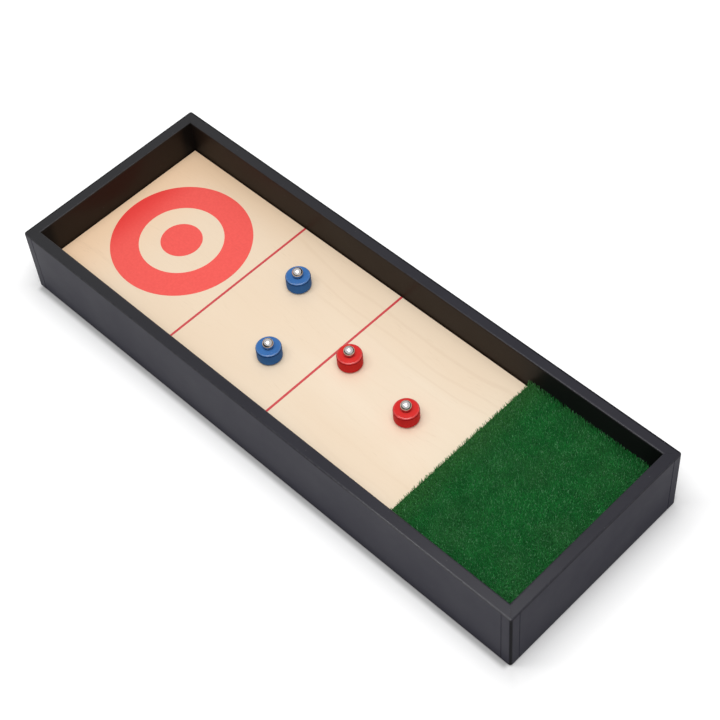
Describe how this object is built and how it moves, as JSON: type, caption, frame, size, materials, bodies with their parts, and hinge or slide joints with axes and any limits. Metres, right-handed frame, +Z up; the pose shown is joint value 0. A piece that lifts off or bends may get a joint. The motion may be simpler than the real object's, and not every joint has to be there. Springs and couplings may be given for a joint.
{
  "type": "tabletop curling game",
  "caption": "Long black wooden tray with a sunken pale lane, printed target house and cross lines, a turf mat at one end, and rolling stones with steel ball knobs.",
  "frame": {"origin": "on the table, under the middle of the tray", "axes": "+X along the lane from the house end to the turf end, +Y across the lane towards the far long side, +Z up"},
  "size_m": [0.6, 0.21, 0.075],
  "materials": {
    "black_paint": "satin black paint",
    "maple": "clear satin lacquer",
    "raw_board": "bare",
    "felt": "felt",
    "latex": "matte",
    "turf": "matte fibre",
    "red_ink": "semi-gloss print",
    "red_lacquer": "thick gloss lacquer",
    "blue_lacquer": "thick gloss lacquer",
    "polished_steel": "mirror polish",
    "plain_steel": "zinc",
    "nylon": "moulded"
  },
  "bodies": {
    "tray": {"front_rail": "black_paint", "turf_end_rail": "black_paint", "back_rail": "black_paint", "house_end_rail": "black_paint", "corner_spline_1": "raw_board", "corner_spline_2": "raw_board", "corner_spline_3": "raw_board", "corner_spline_4": "raw_board", "lane_board": "maple", "lane_bearer_1": "raw_board", "lane_bearer_2": "raw_board", "house_ring_print": "red_ink", "house_button_print": "red_ink", "cross_line_print_1": "red_ink", "cross_line_print_2": "red_ink", "base_panel": "raw_board", "base_screw_1": "plain_steel", "base_screw_2": "plain_steel", "base_screw_3": "plain_steel", "base_screw_4": "plain_steel", "base_screw_5": "plain_steel", "base_screw_6": "plain_steel", "base_screw_7": "plain_steel", "base_screw_8": "plain_steel", "felt_pad_1": "felt", "felt_pad_2": "felt", "felt_pad_3": "felt", "felt_pad_4": "felt", "turf_backing": "latex", "turf_pile_1": "turf", "turf_pile_2": "turf", "turf_pile_3": "turf"},
    "blue_stone_1_ball": {"blue_stone_1_glide_ball": "polished_steel"},
    "blue_stone_1": {"blue_stone_1_body": "blue_lacquer", "blue_stone_1_knob": "polished_steel", "blue_stone_1_knob_stud": "plain_steel", "blue_stone_1_ball_cup": "nylon"},
    "blue_stone_2_ball": {"blue_stone_2_glide_ball": "polished_steel"},
    "blue_stone_2": {"blue_stone_2_body": "blue_lacquer", "blue_stone_2_knob": "polished_steel", "blue_stone_2_knob_stud": "plain_steel", "blue_stone_2_ball_cup": "nylon"},
    "red_stone_1_ball": {"red_stone_1_glide_ball": "polished_steel"},
    "red_stone_1": {"red_stone_1_body": "red_lacquer", "red_stone_1_knob": "polished_steel", "red_stone_1_knob_stud": "plain_steel", "red_stone_1_ball_cup": "nylon"},
    "red_stone_2_ball": {"red_stone_2_glide_ball": "polished_steel"},
    "red_stone_2": {"red_stone_2_body": "red_lacquer", "red_stone_2_knob": "polished_steel", "red_stone_2_knob_stud": "plain_steel", "red_stone_2_ball_cup": "nylon"}
  },
  "joints": [
    {"name": "blue_stone_1_travel", "type": "slide", "parent": "tray", "child": "blue_stone_1_ball", "axis": [1, 0, 0], "range_m": [-0.1898, 0.2197]},
    {"name": "blue_stone_1_spin", "type": "hinge", "parent": "blue_stone_1_ball", "child": "blue_stone_1", "pos_m": [-0.08638, 0.03991, 0.0422], "axis": [0, 0, 1], "continuous": true},
    {"name": "blue_stone_2_travel", "type": "slide", "parent": "tray", "child": "blue_stone_2_ball", "axis": [1, 0, 0], "range_m": [-0.2288, 0.1807]},
    {"name": "blue_stone_2_spin", "type": "hinge", "parent": "blue_stone_2_ball", "child": "blue_stone_2", "pos_m": [-0.04731, -0.03471, 0.0422], "axis": [0, 0, 1], "continuous": true},
    {"name": "red_stone_1_travel", "type": "slide", "parent": "tray", "child": "red_stone_1_ball", "axis": [1, 0, 0], "range_m": [-0.2884, 0.0274]},
    {"name": "red_stone_1_spin", "type": "hinge", "parent": "red_stone_1_ball", "child": "red_stone_1", "pos_m": [0.01229, 0.00711, 0.0422], "axis": [0, 0, 1], "continuous": true},
    {"name": "red_stone_2_travel", "type": "slide", "parent": "tray", "child": "red_stone_2_ball", "axis": [1, 0, 0], "range_m": [-0.0278, 0.0432]},
    {"name": "red_stone_2_spin", "type": "hinge", "parent": "red_stone_2_ball", "child": "red_stone_2", "pos_m": [0.09013, -0.0023, 0.0422], "axis": [0, 0, 1], "continuous": true}
  ]
}
